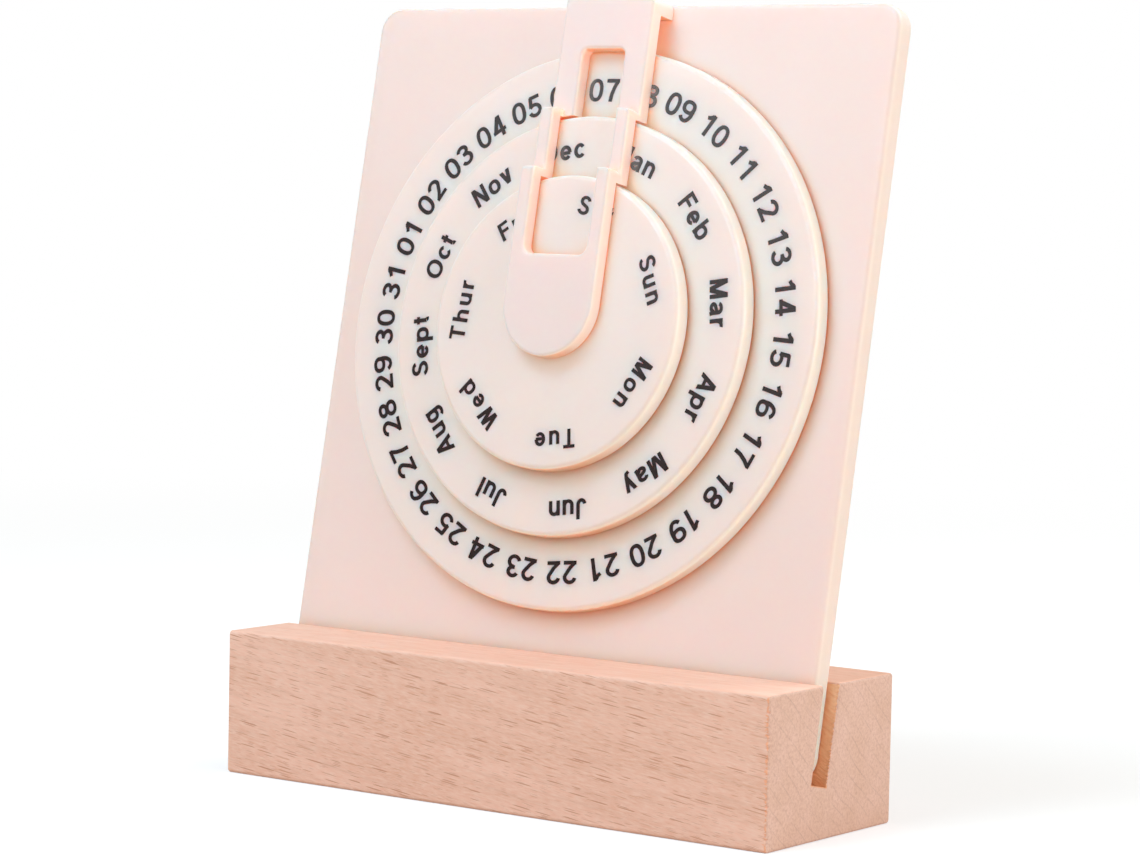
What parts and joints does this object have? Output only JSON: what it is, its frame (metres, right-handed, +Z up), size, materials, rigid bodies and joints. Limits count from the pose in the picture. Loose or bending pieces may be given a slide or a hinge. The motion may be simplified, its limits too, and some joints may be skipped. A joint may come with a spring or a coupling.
{
  "type": "perpetual desk calendar",
  "caption": "Desk calendar: a plate leaning in a slotted wooden block, with stacked date, month and weekday dials that turn behind a stepped window strip.",
  "frame": {"origin": "centre of the wooden block's underside, on the surface that it stands on", "axes": "+Z up, +X to the right along the block as seen from the front, +Y to the rear: the dials face -Y"},
  "size_m": [0.131, 0.0478, 0.1576],
  "materials": {
    "beech": "sanded, unvarnished beech with sawn slot walls",
    "resin": "cream resin, satin and slightly translucent",
    "steel": "turned steel",
    "nylon": "smooth nylon"
  },
  "bodies": {
    "base": {"base_block": "beech"},
    "plate_assembly": {"back_plate": "resin", "window_strip": "resin", "axle_post": "steel", "axle_screw": "steel", "plate_washer": "nylon", "date_washer": "nylon", "month_washer": "nylon", "week_washer": "nylon"},
    "date_wheel": {"date_dial": "resin"},
    "month_wheel": {"month_dial": "resin"},
    "week_wheel": {"week_dial": "resin"}
  },
  "joints": [
    {"name": "plate_lift", "type": "slide", "parent": "base", "child": "plate_assembly", "axis": [0, 0.1908, 0.9816], "range_m": [0, 0.03]},
    {"name": "date_turn", "type": "hinge", "parent": "plate_assembly", "child": "date_wheel", "pos_m": [0, 0.00951, 0.0918], "axis": [0, -0.9816, 0.1908], "continuous": true},
    {"name": "month_turn", "type": "hinge", "parent": "plate_assembly", "child": "month_wheel", "pos_m": [0, 0.00951, 0.0918], "axis": [0, -0.9816, 0.1908], "continuous": true},
    {"name": "week_turn", "type": "hinge", "parent": "plate_assembly", "child": "week_wheel", "pos_m": [0, 0.00951, 0.0918], "axis": [0, -0.9816, 0.1908], "continuous": true}
  ]
}
